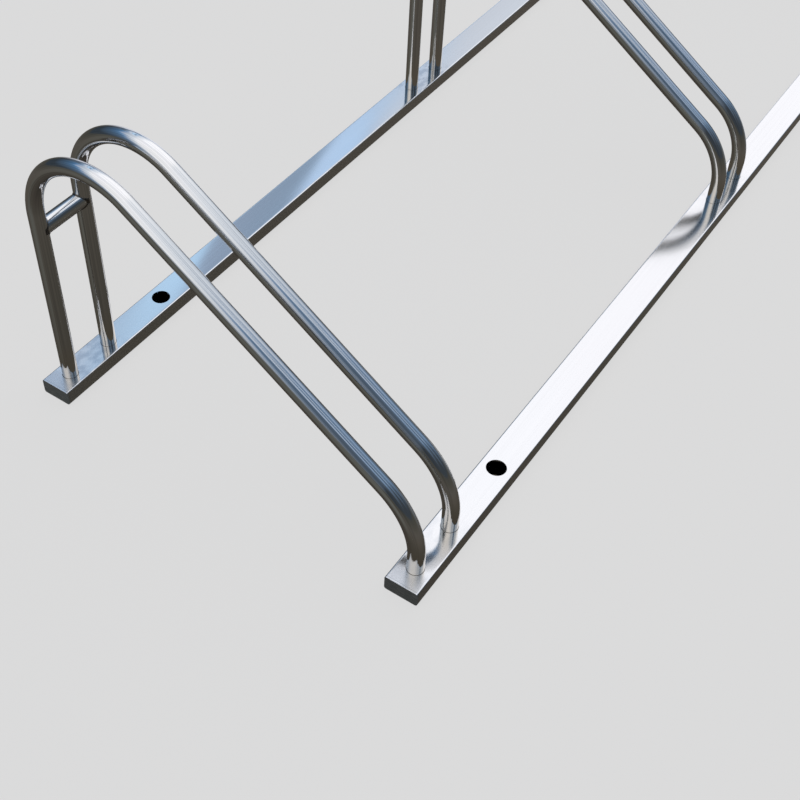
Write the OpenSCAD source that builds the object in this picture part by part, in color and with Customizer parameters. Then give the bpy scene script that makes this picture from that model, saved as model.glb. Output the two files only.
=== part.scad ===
// Hoop bike rack in stainless steel: three wheel hoops on two box rails.
// X runs along the rails, +Y points to the tall side of the hoops, +Z is up.
// The origin is on the floor, midway along and across the rack.

/* [Rails] */
// Width of a rail, measured across the rack
rail_w = 40; // [34:1:60]
// Height of a rail
rail_h = 20; // [16:1:30]
// Wall of a rail
rail_wall = 2; // [1.5:0.5:2.5]
// Outer corner radius of a rail
rail_corner_r = 3; // [2.5:0.5:4]
// Distance between the centre lines of the two rails
rail_apart = 480; // [420:10:560]
// Thickness of the plate that closes each rail end
end_plate_t = 2; // [1.5:0.5:5]

/* [Hoops] */
// Distance from one wheel bay to the next
bay_pitch = 740; // [500:10:900]
// Outer diameter of the hoop tube
tube_d = 19; // [16:0.5:22]
// Wall of the hoop tube
tube_wall = 1.5; // [1:0.25:2.5]
// Clear gap for the wheel between the two tubes of a bay
wheel_gap = 47; // [35:1:70]
// Distance from a rail's end to the first tube's centre
foot_inset = 27; // [20:1:60]
// Straight height of the tall leg above its rail
tall_leg = 237; // [200:1:280]
// Straight height of the short leg above its rail
short_leg = 21; // [12:1:40]
// Centre line radius of the upper bend
upper_bend_r = 87; // [70:1:110]
// Centre line radius of the lower bend
lower_bend_r = 98; // [80:1:120]
// How far each face of the tube's wall draws in at a bend
bend_thin = 0.05; // [0.05:0.01:0.1]
// How far a bend laps into the straight runs beside it
bend_lap = 0.5; // [0.4:0.1:1]
// Clearance round a tube in the holes of its rail
foot_fit = 0.15; // [0.1:0.05:0.3]
// How far a tube's end stops above the underside of its rail
foot_recess = 1; // [0.5:0.1:1.2]

/* [Crossbars] */
// Distance from the start of the upper bend down to the crossbar's axis
bar_drop = 22; // [15:1:60]
// Clearance between a leg and the notch in the crossbar's end
bar_fit = 0.1; // [0.05:0.05:0.2]
// Size of the weld bead round each end of a crossbar
bead = 0.8; // [0.6:0.1:1.2]

/* [Anchor holes] */
// Distance from a rail's end to its anchor hole
anchor_inset = 190; // [130:5:300]
// Diameter of the access hole in the top wall, wide enough for a socket
access_d = 23; // [18:0.5:26]
// Diameter of the fixing hole in the bottom wall
fixing_d = 11; // [9:0.5:14]

/* [Hidden] */
$fn = 64;
// Overrun of every cut past the face that it starts from
cut = 1;
bay_count = 3;
inner_corner_r = max(rail_corner_r - rail_wall, rail_wall / 4);
tube_r = tube_d / 2;
bore_r = tube_r - tube_wall;
bead_r = tube_r + bead;
foot_hole_r = tube_r + foot_fit;
// From tube centre to tube centre across a bay
pair_apart = wheel_gap + tube_d;
rail_len = 2 * foot_inset + pair_apart + (bay_count - 1) * bay_pitch;
rail_y = rail_apart / 2;
anchor_x = rail_len / 2 - anchor_inset;
// Heights above the floor where the straight legs end
tall_z = rail_h + tall_leg;
short_z = rail_h + short_leg;
bar_z = tall_z - bar_drop;

// A hoop lies in the plane of Y and Z: each point below is [y, z].
upper_c = [rail_y - upper_bend_r, tall_z];
lower_c = [lower_bend_r - rail_y, short_z];
centres = upper_c - lower_c;
// The sloping run is the common tangent of the two bends, and this is the direction square to it.
slope_square = atan2(centres[1], centres[0]) + acos((lower_bend_r - upper_bend_r) / norm(centres));
square_way = [cos(slope_square), sin(slope_square)];
slope_top = upper_c + upper_bend_r * square_way;
slope_foot = lower_c + lower_bend_r * square_way;

// Where a bay's left (-1) or right (1) tube stands along X, with the bays counted from the left.
function foot_x(bay, side) = (bay - (bay_count + 1) / 2) * bay_pitch + side * pair_apart / 2;

// Rectangle with true round corners, centred.
module round_rect(w, h, r) {
    square([w - 2 * r, h], center = true);
    square([w, h - 2 * r], center = true);
    for (x = [-1, 1], y = [-1, 1])
        translate([x * (w / 2 - r), y * (h / 2 - r)])
            circle(r = r);
}

// Lays an outline drawn as [y, z] along X, from x0 for a length.
module along_x(x0, length) {
    translate([x0, 0, 0])
        rotate([90, 0, 90])
            linear_extrude(height = length)
                children();
}

// Round hole through one wall of a rail, from z0 upwards.
module wall_hole(x, r, z0) {
    translate([x, 0, z0 - cut])
        cylinder(r = r, h = rail_wall + 2 * cut);
}

// Box rail, pierced for the tubes of every bay and drilled for its anchors.
module rail(y) {
    color("silver")
        translate([0, y, 0])
            difference() {
                along_x(end_plate_t - rail_len / 2, rail_len - 2 * end_plate_t)
                    translate([0, rail_h / 2])
                        difference() {
                            round_rect(rail_w, rail_h, rail_corner_r);
                            round_rect(rail_w - 2 * rail_wall, rail_h - 2 * rail_wall, inner_corner_r);
                        }
                for (bay = [1 : bay_count], side = [-1, 1], z0 = [0, rail_h - rail_wall])
                    wall_hole(foot_x(bay, side), foot_hole_r, z0);
                for (x = [-anchor_x, anchor_x]) {
                    wall_hole(x, fixing_d / 2, 0);
                    wall_hole(x, access_d / 2, rail_h - rail_wall);
                }
            }
}

// Plate welded flush over one end of a rail: side is -1 on the left and 1 on the right.
module end_plate(y, side) {
    color("darkgray")
        translate([0, y, 0])
            along_x(side * (rail_len - end_plate_t) / 2 - end_plate_t / 2, end_plate_t)
                translate([0, rail_h / 2])
                    round_rect(rail_w, rail_h, rail_corner_r);
}

// Cross-section of the hoop tube, with both faces of its wall drawn in by a thinning.
module tube_ring(thin) {
    difference() {
        circle(r = tube_r - thin);
        circle(r = bore_r + thin);
    }
}

// Straight run of tube from one [y, z] point to another, in the hoop's own plane.
module straight_run(from, to) {
    way = to - from;
    translate([from[0], from[1], 0])
        rotate([0, 0, atan2(way[1], way[0])])
            rotate([0, 90, 0])
                linear_extrude(height = norm(way))
                    tube_ring(0);
}

// Bend of tube round a [y, z] centre, between two angles, lapped into the runs beside it.
module bend_run(centre, r, start, end) {
    lap = bend_lap / r * 180 / PI;
    translate([centre[0], centre[1], 0])
        rotate([0, 0, start - lap])
            rotate_extrude(angle = end - start + 2 * lap)
                translate([r, 0])
                    tube_ring(bend_thin);
}

// One hoop tube: tall leg, upper bend, sloping run, lower bend and short leg.
module hoop(bay, side) {
    color("gainsboro")
        translate([foot_x(bay, side), 0, 0])
            rotate([90, 0, 90])
                union() {
                    straight_run([rail_y, foot_recess], [rail_y, tall_z]);
                    bend_run(upper_c, upper_bend_r, 0, slope_square);
                    straight_run(slope_top, slope_foot);
                    bend_run(lower_c, lower_bend_r, slope_square, 180);
                    straight_run([-rail_y, short_z], [-rail_y, foot_recess]);
                }
}

// Rod in the place of a bay's crossbar, from leg axis to leg axis and further by an overrun.
module bar_rod(bay, r, overrun) {
    translate([foot_x(bay, -1) - overrun, rail_y, bar_z])
        rotate([0, 90, 0])
            cylinder(r = r, h = pair_apart + 2 * overrun);
}

// Rods in the place of a bay's two tall legs, past the crossbar above and below.
module leg_rods(bay, r) {
    for (side = [-1, 1])
        translate([foot_x(bay, side), rail_y, bar_z - tube_d])
            cylinder(r = r, h = 2 * tube_d);
}

// Crossbar between the two tall legs, notched to fit round them.
module crossbar(bay) {
    color("lightsteelblue")
        difference() {
            bar_rod(bay, tube_r, 0);
            bar_rod(bay, bore_r, cut);
            leg_rods(bay, tube_r + bar_fit);
        }
}

// Fine weld bead that follows both notched ends of a crossbar.
module bar_welds(bay) {
    color("slategray")
        difference() {
            intersection() {
                bar_rod(bay, bead_r, 0);
                leg_rods(bay, bead_r);
            }
            bar_rod(bay, tube_r, cut);
            leg_rods(bay, tube_r);
        }
}

// Welds under a bay's four feet, ground level with the underside of the rails.
module foot_welds(bay) {
    color("slategray")
        for (side = [-1, 1], y = [-rail_y, rail_y])
            translate([foot_x(bay, side), y, 0])
                linear_extrude(height = foot_recess)
                    difference() {
                        circle(r = foot_hole_r);
                        circle(r = bore_r);
                    }
}

rail(-rail_y);  // rail_front
rail(rail_y);  // rail_back
end_plate(-rail_y, -1);  // end_plate_front_left
end_plate(-rail_y, 1);  // end_plate_front_right
end_plate(rail_y, -1);  // end_plate_back_left
end_plate(rail_y, 1);  // end_plate_back_right
hoop(1, -1);  // hoop_1_left
hoop(1, 1);  // hoop_1_right
hoop(2, -1);  // hoop_2_left
hoop(2, 1);  // hoop_2_right
hoop(3, -1);  // hoop_3_left
hoop(3, 1);  // hoop_3_right
crossbar(1);  // crossbar_1
crossbar(2);  // crossbar_2
crossbar(3);  // crossbar_3
bar_welds(1);  // bar_welds_1
bar_welds(2);  // bar_welds_2
bar_welds(3);  // bar_welds_3
foot_welds(1);  // foot_welds_1
foot_welds(2);  // foot_welds_2
foot_welds(3);  // foot_welds_3
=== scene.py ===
import math

import bmesh
import bpy
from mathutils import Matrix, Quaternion, Vector


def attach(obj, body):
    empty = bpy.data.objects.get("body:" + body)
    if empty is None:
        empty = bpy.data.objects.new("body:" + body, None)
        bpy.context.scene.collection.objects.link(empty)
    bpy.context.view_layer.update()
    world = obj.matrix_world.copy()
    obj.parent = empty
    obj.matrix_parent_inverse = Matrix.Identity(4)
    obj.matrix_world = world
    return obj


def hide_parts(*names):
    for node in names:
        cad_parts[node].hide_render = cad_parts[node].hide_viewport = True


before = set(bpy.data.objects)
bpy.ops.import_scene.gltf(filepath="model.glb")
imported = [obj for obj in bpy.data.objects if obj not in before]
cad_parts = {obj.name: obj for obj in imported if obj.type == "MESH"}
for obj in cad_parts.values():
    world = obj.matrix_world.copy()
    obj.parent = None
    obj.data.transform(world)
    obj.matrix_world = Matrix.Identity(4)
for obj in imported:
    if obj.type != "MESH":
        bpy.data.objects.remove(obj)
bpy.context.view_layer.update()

# Three pairs of bent stainless hoops on two box rails. Lengths are in metres where no note says mm, X runs
# along the rails, +Y is the side of the tall legs and the floor is at zero.
mm = 0.001

# sizes that several pieces share
rack = {
    "end": 0.8,             # from the middle to the rails' ends
    "halfGauge": 0.24,      # from the middle to the rails' centre lines
    "railWidth": 0.04,
    "railHeight": 0.02,
    "railCorner": 0.003,
    "topFace": (0.0185, 0.0195),    # heights between which a rail's corner turns into its top
    "bays": 3,
    "bayPitch": 0.74,
    "footSide": 0.033,      # from the middle of a bay to its tubes
    "tubeRadius": 0.0095,
}


def linearColour(hexColour):
    parts = [int(hexColour[i:i + 2], 16) / 255 for i in (1, 3, 5)]
    return [p / 12.92 if p <= 0.04045 else ((p + 0.055) / 1.055) ** 2.4 for p in parts] + [1.0]


# Adds one node. A setting goes to a property, a ramp's stops or, by name or number, a socket; a tuple of
# sockets takes as many values; a node or socket given as the value is linked. A MapRange has its value at
# 0, the range it comes from at 1 and 2 and the one it goes to at 3 and 4, and a Mix has its factor at 0,
# its vectors at 4 and 5 and its colours at 6 and 7.
def addNode(tree, kind, settings=None):
    node = tree.nodes.new("ShaderNode" + kind)
    for key, value in (settings or {}).items():
        if key == "stops":
            ramp = node.color_ramp.elements
            while len(ramp) > 1:
                ramp.remove(ramp[-1])
            for i, (place, colour) in enumerate(value):
                stop = ramp[0] if i == 0 else ramp.new(place)
                stop.position = place
                stop.color = linearColour(colour) if isinstance(colour, str) else [*colour, 1.0]
        elif isinstance(key, tuple):
            for socket, part in zip(key, value):
                node.inputs[socket].default_value = part
        elif isinstance(key, str) and hasattr(node, key):
            setattr(node, key, value)
        elif isinstance(value, bpy.types.Node):
            tree.links.new(next(out for out in value.outputs if out.enabled), node.inputs[key])
        elif isinstance(value, bpy.types.NodeSocket):
            tree.links.new(value, node.inputs[key])
        else:
            node.inputs[key].default_value = value
    return node


# the empty node tree of a new world or material
def emptyTree(owner):
    owner.use_nodes = True
    owner.node_tree.nodes.clear()
    return owner.node_tree


# 1 inside a soft-edged window and 0 outside: each value comes with the places where the window starts and
# is full and, if it has another side, those where it starts to fade and ends
def softWindow(tree, *spans):
    inside = None
    for value, *places in spans:
        for edge in filter(None, (places[:2], places[:1:-1])):
            part = addNode(tree, "MapRange", {"interpolation_type": "SMOOTHSTEP", 0: value, (1, 2): edge})
            inside = addNode(tree, "Math", {"operation": "MULTIPLY", 0: inside, 1: part}) if inside else part
    return inside


camera = {
    "spot": (-1.42824, -0.59623, 1.05422),
    "aim": (-0.71197, -0.05159, 0.1),
    "roll": -1.371,     # degrees
    "lens": 55.76,      # mm
    "sensor": 36.0,     # mm
    "shift": 0.125,     # the rack runs out of the picture to the right
    "clip": (0.05, 200.0),
}


def placeCamera():
    data = bpy.data.cameras.new("camera")
    data.lens = camera["lens"]
    data.sensor_width = camera["sensor"]
    data.shift_x = camera["shift"]
    data.clip_start, data.clip_end = camera["clip"]
    eye = bpy.data.objects.new("camera", data)
    bpy.context.scene.collection.objects.link(eye)
    eye.location = camera["spot"]
    look = (Vector(camera["aim"]) - Vector(camera["spot"])).to_track_quat("-Z", "Y")
    eye.rotation_mode = "QUATERNION"
    eye.rotation_quaternion = look @ Quaternion((0, 0, 1), math.radians(camera["roll"]))
    bpy.context.scene.camera = eye


placeCamera()
bpy.context.scene.view_settings.view_transform = "Standard"
print("camera placed")

# Soft studio light with no lamp in it: a white tent overhead, blue-grey cloths hung all round at uneven
# heights and a dark ground. Colours are as they read in the bright steel, and angles are in degrees.
light = {
    "strength": 1.52,   # makes up for what the steel swallows
    "backdrop": "#DBDBDB",
    # how far round from +X, then the heights where the cloth is dark, turns pale and gives way to white
    "cloths": [(-180, -3, 11, 19), (-168, 3, 14, 22), (-160, 13, 26, 33), (-152, 26, 34, 40),
               (-144, 37, 42, 47), (-136, 40, 48, 52), (-128, 43, 50, 55), (-120, 38, 51, 57),
               (-109, 24, 45, 58), (-97, 40, 56, 61), (-88, 54, 60, 62), (-80, 36, 56, 61),
               (-71, 20, 45, 57), (-64, 23, 46, 57), (-56, 43, 52, 57), (-48, 31, 48, 56),
               (-40, 2, 40, 51), (-32, -1, 31, 46), (-24, 2, 23, 40), (-16, 9, 17, 30), (-8, 5, 12, 22),
               (0, 0, 5, 12), (10, -3, 2, 8), (22, 0, 6, 14), (36, 10, 26, 42), (52, 25, 38, 56),
               (65, 28, 48, 61), (95, 28, 43, 61), (115, 25, 46, 58), (135, 19, 36, 50),
               (155, 11, 22, 36), (180, -3, 11, 19)],
    "heights": (-10, 80),   # the range that those heights are held in
    "settle": 14,           # how far below dark, and above white, the colour still changes
    # cloth colour in four steps: below dark, dark to pale, pale to white, above
    "tones": [(0.0, "#343A40"), (0.5, "#444F5C"), (1.0, "#4C5B6C"), (1.4, "#56697F"), (1.7, "#637A94"),
              (1.85, "#778FAB"), (2.0, "#94A2B7"), (2.35, "#B4BCC7"), (2.7, "#C8CFD8"), (3.0, "#D4D9E0"),
              (3.3, "#EDEEF2"), (3.6, "#F4F4F7"), (4.0, "#F8F8FC")],
    # how colourful the cloths are, round from +X, and the most that this can be
    "colourful": [(-180, 0.3), (-146, 1.0), (50, 1.0), (74, 1.3), (125, 1.2), (155, 0.8), (180, 0.3)],
    "mostColourful": 2.0,
    # share that the tent loses towards -X, and the direction's X where that starts and is full
    "dimBehind": 0.12,
    "dimFrom": (0.3, -0.6),
    # the far corner past the tall side, in slanting bands, and how steeply they climb
    "corner": [(-16, "#F8F9FD"), (-12, "#EEF0F6"), (-7, "#DEE2EA"), (-2, "#D4DBE5"), (2, "#C9D0DA"),
               (4.6, "#C1C7D1"), (4.9, "#BCC5D2"), (5.1, "#A0B4CC"), (5.4, "#AECAE8"), (7.1, "#B4CDEA"),
               (7.5, "#8094AA"), (11.4, "#8A9AB0"), (11.8, "#AECFEC"), (14.7, "#B2D0EA"),
               (15.8, "#96AFCA"), (17.3, "#98B0CA"), (18.2, "#C4CCD9"), (21, "#B8C5D6"),
               (26, "#7E92AA"), (34, "#526171")],
    "climb": 1.2,
    "cornerRound": (17, 24, 55, 62),    # where it starts, is full, starts to fade and ends
    "cornerUp": (20, 25),               # how high it starts and is full
    # ground by depth below the horizon, and the heights where it starts and is full
    "ground": [(0, "#3F3F3B"), (10, "#45433D"), (19, "#4D4A45"), (30, "#4A4640"), (42, "#413E38"),
               (60, "#3B3732"), (90, "#302D29")],
    "horizon": (4, -1),
    # patches near the horizon: where each starts, is full, starts to fade and ends, round and upwards
    "patches": [((-60, -18, 8, 16), (-28, -17, -4, 4), "#62676C"),
                ((16, 25, 36, 56), (-34, -26, 4, 14), "#CDD0DA"),
                ((112, 150, 181, 182), (-48, -34, -4, 6), "#54544F"),
                ((-182, -181, -176, -160), (-42, -28, -2, 4), "#5A5B57")],
}


def lightTheStudio():
    world = bpy.data.worlds.new("studio light")
    bpy.context.scene.world = world
    tree = emptyTree(world)
    toward = addNode(tree, "VectorMath", {"operation": "NORMALIZE", 0: addNode(tree, "TexCoord")})
    x, y, z = addNode(tree, "SeparateXYZ", {0: toward}).outputs
    facing = addNode(tree, "Math", {"operation": "DEGREES",
                                    0: addNode(tree, "Math", {"operation": "ARCTAN2", 0: y, 1: x})})
    height = addNode(tree, "Math", {"operation": "DEGREES",
                                    0: addNode(tree, "Math", {"operation": "ARCSINE", 0: z})})
    turn = addNode(tree, "MapRange", {0: facing, 1: -180, 2: 180})

    # each cloth height is one channel of a ramp, from the lowest at 0 to the highest at 1
    lowest, highest = light["heights"]
    span = highest - lowest
    stops = [((a + 180) / 360, [(h - lowest) / span for h in heights]) for a, *heights in light["cloths"]]
    rows = addNode(tree, "ValToRGB", {"stops": stops, 0: turn})
    dark, pale, white = addNode(tree, "SeparateColor", {0: rows}).outputs
    under = addNode(tree, "Math", {"operation": "SUBTRACT", 0: dark, 1: light["settle"] / span})
    over = addNode(tree, "Math", {"operation": "ADD", 0: white, 1: light["settle"] / span})
    level = addNode(tree, "MapRange", {"clamp": False, 0: height, 1: lowest, 2: highest})
    steps = ((under, dark), (dark, pale), (pale, white), (white, over))
    climbed = None
    for start, end in steps:
        part = addNode(tree, "MapRange", {0: level, 1: start, 2: end})
        climbed = addNode(tree, "Math", {"operation": "ADD", 0: climbed, 1: part}) if climbed else part
    tent = part     # the last step is the tent alone
    share = addNode(tree, "Math", {"operation": "DIVIDE", 0: climbed, 1: len(steps)})
    tone = addNode(tree, "ValToRGB", {"stops": [(p / len(steps), c) for p, c in light["tones"]], 0: share})
    most = light["mostColourful"]
    stops = [((a + 180) / 360, [v / most] * 3) for a, v in light["colourful"]]
    share = addNode(tree, "ValToRGB", {"stops": stops, 0: turn})
    colourful = addNode(tree, "Math", {"operation": "MULTIPLY", 0: share, 1: most})
    cloth = addNode(tree, "HueSaturation", {"Saturation": colourful, "Color": tone})
    behind = addNode(tree, "MapRange", {0: x, (1, 2): light["dimFrom"], (3, 4): (0.0, light["dimBehind"])})
    lost = addNode(tree, "Math", {"operation": "MULTIPLY", 0: tent, 1: behind})
    left = addNode(tree, "Math", {"operation": "SUBTRACT", 0: 1.0, 1: lost})
    cloth = addNode(tree, "VectorMath", {"operation": "SCALE", 0: cloth, 3: left})

    first, last = light["corner"][0][0], light["corner"][-1][0]
    down = addNode(tree, "Math", {"operation": "MULTIPLY", 0: height, 1: -1.0})
    slant = addNode(tree, "Math", {"operation": "MULTIPLY_ADD", 0: facing, 1: light["climb"], 2: down})
    share = addNode(tree, "MapRange", {0: slant, 1: first, 2: last})
    stops = [((q - first) / (last - first), c) for q, c in light["corner"]]
    corner = addNode(tree, "ValToRGB", {"stops": stops, 0: share})
    inside = softWindow(tree, (facing, *light["cornerRound"]), (height, *light["cornerUp"]))
    sides = addNode(tree, "Mix", {"data_type": "RGBA", 0: inside, 6: cloth, 7: corner})

    deepest = light["ground"][-1][0]
    depth = addNode(tree, "MapRange", {0: height, 1: 0, 2: -deepest})
    ground = addNode(tree, "ValToRGB", {"stops": [(d / deepest, c) for d, c in light["ground"]], 0: depth})
    onGround = softWindow(tree, (height, *light["horizon"]))
    around = addNode(tree, "Mix", {"data_type": "RGBA", 0: onGround, 6: sides, 7: ground})
    for across, upwards, colour in light["patches"]:
        inside = softWindow(tree, (facing, *across), (height, *upwards))
        around = addNode(tree, "Mix", {"data_type": "RGBA", 0: inside, 6: around, 7: linearColour(colour)})
    lit = addNode(tree, "Background", {"Strength": light["strength"], "Color": around})
    # the camera itself sees an even pale backdrop
    plain = addNode(tree, "Background", {"Color": linearColour(light["backdrop"])})
    seen = addNode(tree, "LightPath").outputs["Is Camera Ray"]
    addNode(tree, "OutputWorld", {0: addNode(tree, "MixShader", {0: seen, 1: lit, 2: plain})})


floorPaper = {
    "size": 60.0,
    "drop": 0.2,        # mm below the rack
    "colour": "#DBDBDB",
    "own": 0.90,        # share of the colour that is even light, which leaves only a faint shadow
    "matt": "#53514F",
}


# Seamless studio paper: even and matt.
def layFloor():
    mesh = bpy.data.meshes.new("floor")
    s = floorPaper["size"] / 2
    mesh.from_pydata([(-s, -s, 0), (s, -s, 0), (s, s, 0), (-s, s, 0)], [], [(0, 1, 2, 3)])
    floor = bpy.data.objects.new("floor", mesh)
    floor.location.z = -floorPaper["drop"] * mm
    bpy.context.scene.collection.objects.link(floor)
    paper = bpy.data.materials.new("studio paper")
    tree = emptyTree(paper)
    glow = addNode(tree, "Emission", {"Color": linearColour(floorPaper["colour"]),
                                      "Strength": floorPaper["own"]})
    matt = addNode(tree, "BsdfDiffuse", {"Color": linearColour(floorPaper["matt"])})
    addNode(tree, "OutputMaterial", {0: addNode(tree, "AddShader", {0: glow, 1: matt})})
    mesh.materials.append(paper)
    floor.visible_glossy = False


lightTheStudio()
layFloor()
print("light and floor set")


# one noise for each width, length along X and detail, with the sizes in mm
def lengthwiseGrains(tree, place, sizes):
    grains = []
    for width, length, detail in sizes:
        flat = addNode(tree, "VectorMath", {"operation": "MULTIPLY", 0: place,
                                            1: (1 / length, 1 / width, 1 / width)})
        grains.append(addNode(tree, "TexNoise", {"Vector": flat, "Scale": 1.0, "Detail": detail,
                                                 "Roughness": 0.55}))
    return grains


# the normal cubed, which on a rounded edge turns mostly in the middle, so that the edge looks tight
def tightNormal(tree, normal):
    squared = addNode(tree, "VectorMath", {"operation": "MULTIPLY", 0: normal, 1: normal})
    cubed = addNode(tree, "VectorMath", {"operation": "MULTIPLY", 0: normal, 1: squared})
    return addNode(tree, "VectorMath", {"operation": "NORMALIZE", 0: cubed})


def finishSteel(tree, tone, rough, normal):
    steel = addNode(tree, "BsdfPrincipled", {
        "Metallic": 1.0, "Base Color": tone, "Roughness": rough, "Normal": normal})
    addNode(tree, "OutputMaterial", {0: steel})


tubing = {
    "tones": [(0.0, "#C6C7C8"), (0.6, "#D8D8D8")],      # dull to bright across a line
    "straw": "#D4CFC6",             # faint heat tint above the welded feet
    "strawHeights": (0.09, 0.03),   # where the tint starts and is full
    # mm wide, mm long, detail; the real lines are about 0.1 mm wide and too fine to show
    "lines": (1.2, 300.0, 1.0),
    "waves": (14.0, 160.0, 1.0),    # the metal's own slow waves
    "rubs": (5.0, 22.0, 3.0),
    "lineSides": (0.36, 0.64),      # noise at the foot and the top of a line's steep side
    "lineDepth": 0.04,              # mm
    "waveDepth": 0.012,
    "roughness": (0.045, 0.085),    # off and on a line
    "rubNoise": (0.45, 0.75),
    "rubRoughness": 0.03,
    # the polishing belt leaves the inner side smoother: from the inner side (-1) to the outer (1), the
    # places where the relief starts to grow and is full, and then its share on the inner side
    "calmSides": (-0.8, -0.1),
    "calmShare": 0.1,
}


# Bright-drawn stainless tube, polished lengthwise: sharp dark and light reflections that break up into
# fine lines along the tube.
def drawnTube(name, wrapped):
    t = tubing
    material = bpy.data.materials.new(name)
    tree = emptyTree(material)
    spot = addNode(tree, "TexCoord").outputs["Object"]
    if wrapped:   # the hoops' own map: once round is 1 and along is in metres
        wrap = addNode(tree, "UVMap", {"uv_map": "along"})
        across, along, _ = addNode(tree, "SeparateXYZ", {0: wrap}).outputs
        turn = addNode(tree, "Math", {"operation": "MULTIPLY", 0: across, 1: 2 * math.pi})
        sideways = addNode(tree, "Math", {"operation": "COSINE", 0: turn})
        outwards = addNode(tree, "Math", {"operation": "SINE", 0: turn})
        radius = rack["tubeRadius"] / mm
        place = addNode(tree, "CombineXYZ", {
            0: addNode(tree, "Math", {"operation": "MULTIPLY", 0: along, 1: 1 / mm}),
            1: addNode(tree, "Math", {"operation": "MULTIPLY", 0: sideways, 1: radius}),
            2: addNode(tree, "Math", {"operation": "MULTIPLY", 0: outwards, 1: radius})})
    else:
        place = addNode(tree, "VectorMath", {"operation": "SCALE", 0: spot, 3: 1 / mm})
    lines, waves, rub = lengthwiseGrains(tree, place, (t["lines"], t["waves"], t["rubs"]))
    # each line has a steep side, so it shows as a crisp pale or dark streak
    lines = softWindow(tree, (lines, *t["lineSides"]))
    tone = addNode(tree, "ValToRGB", {"stops": t["tones"], 0: lines})
    low = addNode(tree, "SeparateXYZ", {0: spot}).outputs[2]
    nearWeld = softWindow(tree, (low, *t["strawHeights"]))
    tone = addNode(tree, "Mix", {"data_type": "RGBA", 0: nearWeld, 6: tone, 7: linearColour(t["straw"])})
    gloss = addNode(tree, "MapRange", {0: lines, (3, 4): t["roughness"]})
    smear = addNode(tree, "MapRange", {0: rub, (1, 2): t["rubNoise"], (3, 4): (0.0, t["rubRoughness"])})
    rough = addNode(tree, "Math", {"operation": "ADD", 0: gloss, 1: smear})
    if wrapped:
        calm = addNode(tree, "MapRange", {"interpolation_type": "SMOOTHSTEP", 0: outwards,
                                          (1, 2): t["calmSides"], (3, 4): (t["calmShare"], 1.0)})
        lines = addNode(tree, "Math", {"operation": "MULTIPLY", 0: lines, 1: calm})
        waves = addNode(tree, "Math", {"operation": "MULTIPLY", 0: waves, 1: calm})
    wave = addNode(tree, "Bump", {"Distance": t["waveDepth"] * mm, "Height": waves})
    bump = addNode(tree, "Bump", {"Distance": t["lineDepth"] * mm, "Height": lines, "Normal": wave})
    finishSteel(tree, tone, rough, bump)
    return material


railSection = {
    "tones": [(0.30, "#D1D1D2"), (0.60, "#D5D5D6")],
    # mm wide, mm long, detail; the real lines are about 0.05 mm wide and drawn coarser so that they show
    "lines": (0.9, 320.0, 3.0),
    "waves": (30.0, 240.0, 1.0),
    "clouds": (18.0, 60.0, 2.0),
    "rubs": (2.2, 26.0, 2.0),
    "tubeReflectionBlots": (9.0, 14.0, 3.0),
    "lineDepth": 0.0010,            # mm
    "waveDepth": 0.014,
    "rubDepth": 0.006,
    # how far from the end the rail is ground after welding its plate, and how uneven that edge is
    "groundEnd": 0.022,
    "endRagged": 0.014,
    "seam": (0.0031, 0.0022),       # from the end, where the plate's seam starts and is full
    "ring": (0.6, 0.3),             # mm off a tube, where the line of painted shade round it starts and is full
    # from the middle of a foot, where the top starts to be rubbed and is fully so, and how uneven that is
    "rubbedReach": (0.20, 0.07),
    "rubbedUneven": 0.09,
    "midway": 0.1,                  # off the middle, short of either rail, to tell front from back
    # along a bay, where the haze on the front rail starts, is full, starts to fade and ends
    "haze": (-0.26, -0.18, -0.14, -0.06),
    # off the middle of a bay, where the painted reflection of the tubes between the feet starts and is full,
    # then its noise and its share on the back and the front rail
    "tubeReflectionReach": (0.055, 0.028),
    "tubeReflectionNoise": (0.6, 0.4),
    "tubeReflectionShares": (1.0, 0.3),
    "cornerLean": (0.02, 0.1),      # product of the normal's Y and Z, from flat to rounded
    "cornerGround": 0.3,            # share of the grinding that reaches the corners
    "speck": 2.0,                   # mm
    "speckNoise": (0.3, 0.7),
    "speckTones": (0.65, 1.3),
    "tints": {"smudge": "#B8BBC0", "ground": "#CCCED2", "seam": "#B0B3B8", "ring": "#9A9896"},
    "roughNoise": (0.25, 0.75),
    "roughness": (0.03, 0.05),
    "rougher": {"cloud": 0.02, "rubbed": 0.06, "haze": 0.07, "ground": 0.17, "ring": 0.15, "corner": 0.03},
}
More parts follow.
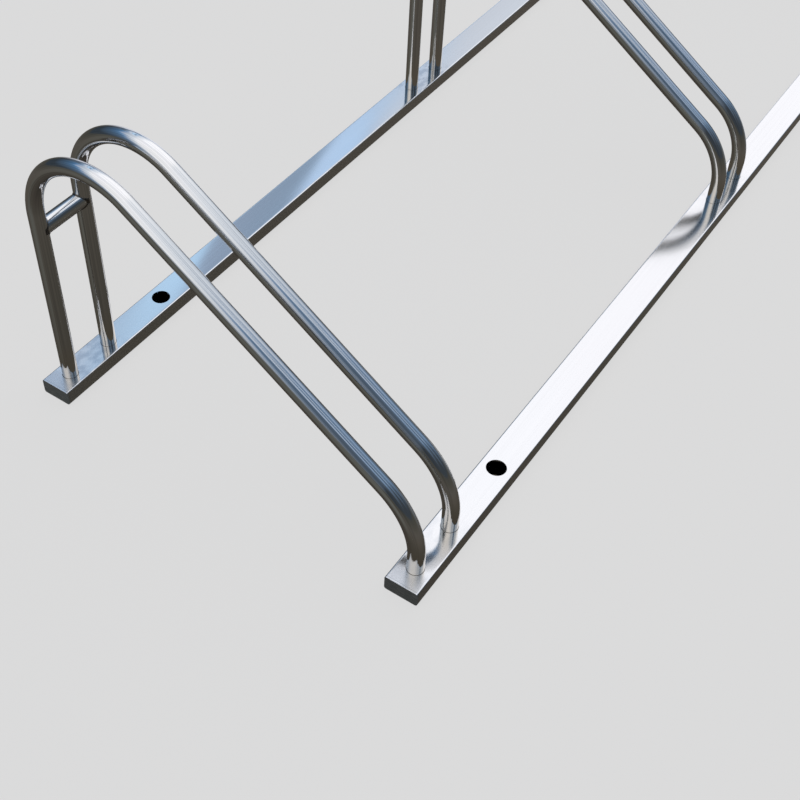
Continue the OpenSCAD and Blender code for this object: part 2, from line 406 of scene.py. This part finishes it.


# Bright-rolled stainless box section: nearly a mirror, slightly soft across its lengthwise grain, satin on
# its rounded corners and its welded ends, rubbed round the feet, with a painted reflection of the tubes
# between the feet and a thin line of painted shade round each foot.
def rolledRail():
    r = railSection
    material = bpy.data.materials.new("bright-rolled stainless rail")
    tree = emptyTree(material)
    spot = addNode(tree, "TexCoord").outputs["Object"]
    place = addNode(tree, "VectorMath", {"operation": "SCALE", 0: spot, 3: 1 / mm})
    x, y, z = addNode(tree, "SeparateXYZ", {0: spot}).outputs
    lines, waves, cloud, rub, smudge = lengthwiseGrains(
        tree, place, (r["lines"], r["waves"], r["clouds"], r["rubs"], r["tubeReflectionBlots"]))

    # distance from the nearest foot, and from the nearer end of the rail
    halfBay = rack["bayPitch"] / 2
    bay = addNode(tree, "Math", {"operation": "WRAP", 0: x, 1: halfBay, 2: -halfBay})
    offBay, offX, offY = [addNode(tree, "Math", {"operation": "ABSOLUTE", 0: v}) for v in (bay, x, y)]
    alongGap = addNode(tree, "Math", {"operation": "SUBTRACT", 0: offBay, 1: rack["footSide"]})
    acrossGap = addNode(tree, "Math", {"operation": "SUBTRACT", 0: offY, 1: rack["halfGauge"]})
    gap = addNode(tree, "CombineXYZ", {0: alongGap, 1: acrossGap})
    footGap = addNode(tree, "VectorMath", {"operation": "LENGTH", 0: gap})
    fromEnd = addNode(tree, "Math", {"operation": "SUBTRACT", 0: rack["end"], 1: offX})

    onTop = addNode(tree, "MapRange", {0: z, (1, 2): rack["topFace"]})
    # painted shade: a thin darker line round each foot on the rail's top, where the tube meets it, which is
    # also made rougher
    ring = addNode(tree, "MapRange", {0: footGap, (1, 2): [rack["tubeRadius"] + v * mm for v in r["ring"]]})
    ring = addNode(tree, "Math", {"operation": "MULTIPLY", 0: ring, 1: onTop})
    uneven = addNode(tree, "Math", {"operation": "MULTIPLY_ADD", 0: cloud, 1: r["rubbedUneven"], 2: footGap})
    rubbed = addNode(tree, "MapRange", {0: uneven, (1, 2): r["rubbedReach"]})
    rubbed = addNode(tree, "Math", {"operation": "MULTIPLY", 0: rubbed, 1: onTop})
    ragged = addNode(tree, "Math", {"operation": "MULTIPLY_ADD", 0: cloud, 1: r["endRagged"], 2: fromEnd})
    ground = softWindow(tree, (ragged, r["groundEnd"] + r["endRagged"], r["groundEnd"]))
    seam = softWindow(tree, (fromEnd, *r["seam"]))

    # a hazy stretch of the front rail before each bay
    front = addNode(tree, "MapRange", {0: y, 1: r["midway"], 2: -r["midway"]})
    haze = softWindow(tree, (bay, *r["haze"]))
    for mask in (onTop, front):
        haze = addNode(tree, "Math", {"operation": "MULTIPLY", 0: haze, 1: mask})

    # painted reflection of the tubes: a blue-grey tint between the feet, strongest on the back rail under the
    # tall legs
    mark = addNode(tree, "MapRange", {0: smudge, (1, 2): r["tubeReflectionNoise"]})
    between = softWindow(tree, (offBay, *r["tubeReflectionReach"]))
    byRail = addNode(tree, "MapRange", {0: front, (3, 4): r["tubeReflectionShares"]})
    for mask in (onTop, between, byRail):
        mark = addNode(tree, "Math", {"operation": "MULTIPLY", 0: mark, 1: mask})

    # the rounded corners, where the normal leans between a top or bottom and a side, are rolled tight
    normal = addNode(tree, "NewGeometry").outputs["Normal"]
    _, normalY, normalZ = addNode(tree, "SeparateXYZ", {0: normal}).outputs
    lean = addNode(tree, "Math", {"operation": "MULTIPLY", 0: normalY, 1: normalZ})
    lean = addNode(tree, "Math", {"operation": "ABSOLUTE", 0: lean})
    corner = softWindow(tree, (lean, *r["cornerLean"]))
    tight = addNode(tree, "Mix", {"data_type": "VECTOR", 0: corner, 4: normal, 5: tightNormal(tree, normal)})

    tone = addNode(tree, "ValToRGB", {"stops": r["tones"], 0: lines})
    # tints over the top: the ground end and the plate's seam are the metal's own, the tint between the feet
    # is a painted reflection of the tubes and the one round each foot is painted shade
    masks = {"smudge": mark, "ground": ground, "seam": seam, "ring": ring}
    for name, colour in r["tints"].items():
        tone = addNode(tree, "Mix", {"data_type": "RGBA", 0: masks[name], 6: tone, 7: linearColour(colour)})
    # the sides are a little pitted, which the bright top hides
    speck = addNode(tree, "TexNoise", {"Vector": place, "Scale": 1 / r["speck"], "Detail": 2.0})
    pitted = addNode(tree, "MapRange", {0: speck, (1, 2): r["speckNoise"], (3, 4): r["speckTones"]})
    side = addNode(tree, "VectorMath", {"operation": "SCALE", 0: tone, 3: pitted})
    tone = addNode(tree, "Mix", {"data_type": "RGBA", 0: onTop, 6: side, 7: tone})

    rough = addNode(tree, "MapRange", {0: lines, (1, 2): r["roughNoise"], (3, 4): r["roughness"]})
    reached = addNode(tree, "MapRange", {0: corner, (3, 4): (1.0, r["cornerGround"])})
    satin = addNode(tree, "Math", {"operation": "MULTIPLY", 0: ground, 1: reached})
    masks = {"cloud": cloud, "rubbed": rubbed, "haze": haze, "ground": satin, "ring": ring, "corner": corner}
    for name, more in r["rougher"].items():
        rough = addNode(tree, "Math", {"operation": "MULTIPLY_ADD", 0: masks[name], 1: more, 2: rough})
    streaks = addNode(tree, "Math", {"operation": "MULTIPLY", 0: rub, 1: rubbed})
    bump = tight
    for height, depth in ((waves, r["waveDepth"]), (streaks, r["rubDepth"]), (lines, r["lineDepth"])):
        bump = addNode(tree, "Bump", {"Distance": depth * mm, "Height": height, "Normal": bump})
    finishSteel(tree, tone, rough, bump)
    return material


platework = {
    "turns": (25.0, -35.0),         # degrees, the two ways that the scratches run
    "scratchesPerMm": (0.9, 0.12, 1.6),     # along X, Y and Z
    "tones": [(0.12, "#A2B4C6"), (0.25, "#C2D0E0"), (0.42, "#E4EEF9")],
    "top": "#CCCED2",               # as the rail's ground end beside it
    "roughNoise": (0.1, 0.45),
    "roughness": (0.20, 0.30),
    "scratchDepth": 0.012,          # mm
}


# Stainless plate, its edge ground flush with a fine disc: a duller satin slate with short crossing scratches.
def groundPlate():
    p = platework
    material = bpy.data.materials.new("ground stainless plate")
    tree = emptyTree(material)
    spot = addNode(tree, "TexCoord").outputs["Object"]
    place = addNode(tree, "VectorMath", {"operation": "SCALE", 0: spot, 3: 1 / mm})
    marks = []
    for turn in p["turns"]:
        turned = addNode(tree, "Mapping", {"Rotation": (math.radians(turn), 0, 0),
                                           "Scale": p["scratchesPerMm"], 0: place})
        marks.append(addNode(tree, "TexNoise", {"Vector": turned, "Scale": 1.0, "Detail": 3.0}))
    both = addNode(tree, "Math", {"operation": "MULTIPLY", 0: marks[0], 1: marks[1]})
    tone = addNode(tree, "ValToRGB", {"stops": p["tones"], 0: both})
    high = addNode(tree, "SeparateXYZ", {0: spot}).outputs[2]
    onTop = addNode(tree, "MapRange", {0: high, (1, 2): rack["topFace"]})
    tone = addNode(tree, "Mix", {"data_type": "RGBA", 0: onTop, 6: tone, 7: linearColour(p["top"])})
    rough = addNode(tree, "MapRange", {0: both, (1, 2): p["roughNoise"], (3, 4): p["roughness"]})
    tight = tightNormal(tree, addNode(tree, "NewGeometry").outputs["Normal"])
    bump = addNode(tree, "Bump", {"Distance": p["scratchDepth"] * mm, "Height": both, "Normal": tight})
    finishSteel(tree, tone, rough, bump)
    return material


welding = {
    "ripple": 1.25,                 # mm
    "tones": [(0.30, "#3B3F4A"), (0.48, "#5E5A55"), (0.66, "#7C7468")],
    "roughNoise": (0.3, 0.7),
    "roughness": (0.30, 0.46),
    "rippleDepth": 0.1,             # mm
}


# Stainless weld bead, pickled: a thin dark seam with a ripple and a trace of straw and blue heat tint.
def pickledWeld():
    w = welding
    material = bpy.data.materials.new("pickled stainless weld")
    tree = emptyTree(material)
    spot = addNode(tree, "TexCoord").outputs["Object"]
    place = addNode(tree, "VectorMath", {"operation": "SCALE", 0: spot, 3: 1 / mm})
    ripple = addNode(tree, "TexNoise", {"Vector": place, "Scale": 1 / w["ripple"], "Detail": 2.0})
    tone = addNode(tree, "ValToRGB", {"stops": w["tones"], 0: ripple})
    rough = addNode(tree, "MapRange", {0: ripple, (1, 2): w["roughNoise"], (3, 4): w["roughness"]})
    bump = addNode(tree, "Bump", {"Distance": w["rippleDepth"] * mm, "Height": ripple})
    finishSteel(tree, tone, rough, bump)
    return material


tubeSteel = drawnTube("bright-drawn stainless tube", True)
barSteel = drawnTube("bright-drawn stainless bar", False)
railSteel = rolledRail()
plateSteel = groundPlate()
weldSteel = pickledWeld()
print("steel made")

finishOf = {"rail": railSteel, "crossbar": barSteel, "bar_welds": weldSteel, "foot_welds": weldSteel,
            "end_plate": plateSteel, "hoop": tubeSteel}
for name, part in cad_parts.items():
    for start, finish in finishOf.items():
        if name.startswith(start):
            for slot in part.material_slots:
                slot.material = finish
print("carried-over parts finished")


# turns a mesh's faces outwards, smooths all but its sharp edges and links it as a piece
def finishPiece(mesh, sharpFrom, steel):
    work = bmesh.new()
    work.from_mesh(mesh)
    bmesh.ops.recalc_face_normals(work, faces=work.faces)
    for face in work.faces:
        face.smooth = True
    work.to_mesh(mesh)
    work.free()
    mesh.set_sharp_from_angle(angle=math.radians(sharpFrom))
    mesh.materials.append(steel)
    piece = bpy.data.objects.new(mesh.name, mesh)
    bpy.context.scene.collection.objects.link(piece)
    return piece


hoop = {
    "wall": 0.0015,
    "bendThin": 0.0001,     # the wall draws in this much round a bend
    "legFoot": 0.001,       # the tube's end above the floor
    "tallTop": 0.257,       # heights where the straight legs end
    "shortTop": 0.041,
    "upperBend": 0.087,     # centre line radii
    "lowerBend": 0.098,
    "sides": 72,
    "bendStep": 1.5,        # degrees
    "thinRows": 6,          # rows over which the wall starts to draw in
    # where the rows of each straight run stand, as shares of its length
    "tallShares": (0, 0.03, 0.07, 0.1, 0.3, 0.5, 0.7, 0.9, 0.99),
    "slopeShares": (0.01, 0.1, 0.3, 0.5, 0.7, 0.9, 0.99),
    "shortShares": (0.03, 0.25, 0.5, 0.75, 1.0),
    "sharpFrom": 40,        # degrees
}


# points (y, z, way y, way z, thinning share) down the middle of a hoop, from the tall foot to the short one
def hoopLine():
    h = hoop
    gauge, upperR, lowerR = rack["halfGauge"], h["upperBend"], h["lowerBend"]
    upper = (gauge - upperR, h["tallTop"])
    lower = (lowerR - gauge, h["shortTop"])
    rise, reach = upper[1] - lower[1], upper[0] - lower[0]
    end = math.atan2(rise, reach) + math.acos((lowerR - upperR) / math.hypot(rise, reach))
    line = []

    def straight(a, b, shares):
        length = math.hypot(b[0] - a[0], b[1] - a[1])
        way = ((b[0] - a[0]) / length, (b[1] - a[1]) / length)
        for s in shares:
            line.append((a[0] + way[0] * length * s, a[1] + way[1] * length * s, *way, 0.0))

    def bend(centre, radius, a0, a1):
        count = round(math.degrees(a1 - a0) / h["bendStep"])
        for i in range(count + 1):
            a = a0 + (a1 - a0) * i / count
            thin = min(1.0, min(i, count - i) / h["thinRows"])
            line.append((centre[0] + radius * math.cos(a), centre[1] + radius * math.sin(a),
                         -math.sin(a), math.cos(a), thin))

    top = (upper[0] + upperR * math.cos(end), upper[1] + upperR * math.sin(end))
    foot = (lower[0] + lowerR * math.cos(end), lower[1] + lowerR * math.sin(end))
    straight((gauge, h["legFoot"]), (gauge, h["tallTop"]), h["tallShares"])
    bend(upper, upperR, 0.0, end)
    straight(top, foot, h["slopeShares"])
    bend(lower, lowerR, end, math.pi)
    straight((-gauge, h["shortTop"]), (-gauge, h["legFoot"]), h["shortShares"])
    return line


def makeHoop(name, x):
    line, n = hoopLine(), hoop["sides"]
    rows = len(line)
    along = [0.0]
    for a, b in zip(line, line[1:]):
        along.append(along[-1] + math.hypot(b[0] - a[0], b[1] - a[1]))
    points, faces, maps = [], [], []
    for wallSide in (0, 1):     # outside, then bore
        for y, z, wayY, wayZ, thin in line:
            draw = hoop["bendThin"] * thin
            r = rack["tubeRadius"] - draw if wallSide == 0 else rack["tubeRadius"] - hoop["wall"] + draw
            for i in range(n):
                a = 2 * math.pi * i / n
                c, s = r * math.cos(a), r * math.sin(a)
                points.append((x + c, y + s * wayZ, z - s * wayY))

    # each corner is a side of the wall, a row and a step round
    def addFace(corners):
        faces.append([(wallSide * rows + k) * n + i % n for wallSide, k, i in corners])
        maps.append([(i / n, along[k]) for _, k, i in corners])

    for w in (0, 1):
        for k in range(rows - 1):
            for i in range(n):
                corners = [(w, k, i), (w, k + 1, i), (w, k + 1, i + 1), (w, k, i + 1)]
                addFace(corners[::-1] if w == 1 else corners)
    for k in (0, rows - 1):
        for i in range(n):
            corners = [(0, k, i), (0, k, i + 1), (1, k, i + 1), (1, k, i)]
            addFace(corners[::-1] if k else corners)
    mesh = bpy.data.meshes.new(name)
    mesh.from_pydata(points, [], faces)
    layer = mesh.uv_layers.new(name="along")
    for face, flat in zip(mesh.polygons, maps):
        for loop, uv in zip(face.loop_indices, flat):
            layer.data[loop].uv = uv
    return finishPiece(mesh, hoop["sharpFrom"], tubeSteel)


for bay in range(1, rack["bays"] + 1):
    middle = (bay - (rack["bays"] + 1) / 2) * rack["bayPitch"]
    for side, word in ((-1, "left"), (1, "right")):
        tube = makeHoop(f"bent_hoop_{bay}_{word}", middle + side * rack["footSide"])
        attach(tube, "root")
        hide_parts(f"hoop_{bay}_{word}")
print("hoops bent")

endPlate = {
    "thick": 0.002,
    "eased": 0.0008,        # the outer edge is ground round
    "cornerSteps": 8,
    "easedSteps": 6,
    "heldBefore": 0.1,      # mm from the eased edge to a row that holds its curve, on the rim and the face
    "heldAfter": 0.3,
    "sharpFrom": 50,        # degrees
}


def plateOutline(inset):
    halfWidth, halfHeight = rack["railWidth"] / 2, rack["railHeight"] / 2
    r = rack["railCorner"] - inset
    outline = []
    for turn in range(4):
        cy = (halfWidth - rack["railCorner"]) * (1 if turn in (0, 3) else -1)
        cz = halfHeight + (halfHeight - rack["railCorner"]) * (1 if turn in (0, 1) else -1)
        for i in range(endPlate["cornerSteps"] + 1):
            a = math.pi / 2 * (turn + i / endPlate["cornerSteps"])
            outline.append((cy + r * math.cos(a), cz + r * math.sin(a)))
    return outline


def makePlate(name, y, side):
    p = endPlate
    end, eased = rack["end"], p["eased"]
    rings = [(end - p["thick"], 0.0), (end - eased - p["heldBefore"] * mm, 0.0)]
    for i in range(p["easedSteps"] + 1):
        a = math.pi / 2 * i / p["easedSteps"]
        rings.append((end - eased * (1 - math.sin(a)), eased * (1 - math.cos(a))))
    rings.append((end, eased + p["heldAfter"] * mm))
    points, faces = [], []
    for x, inset in rings:
        points += [(side * x, y + a, b) for a, b in plateOutline(inset)]
    n = len(points) // len(rings)
    for k in range(len(rings) - 1):
        for i in range(n):
            j = (i + 1) % n
            faces.append((k * n + i, k * n + j, (k + 1) * n + j, (k + 1) * n + i))
    faces.append(tuple(range(n)))
    faces.append(tuple((len(rings) - 1) * n + i for i in range(n)))
    mesh = bpy.data.meshes.new(name)
    mesh.from_pydata(points, [], faces)
    return finishPiece(mesh, p["sharpFrom"], plateSteel)


for row, y in (("front", -rack["halfGauge"]), ("back", rack["halfGauge"])):
    for word, side in (("left", -1), ("right", 1)):
        plate = makePlate(f"eased_plate_{row}_{word}", y, side)
        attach(plate, "root")
        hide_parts(f"end_plate_{row}_{word}")
print("end plates eased")
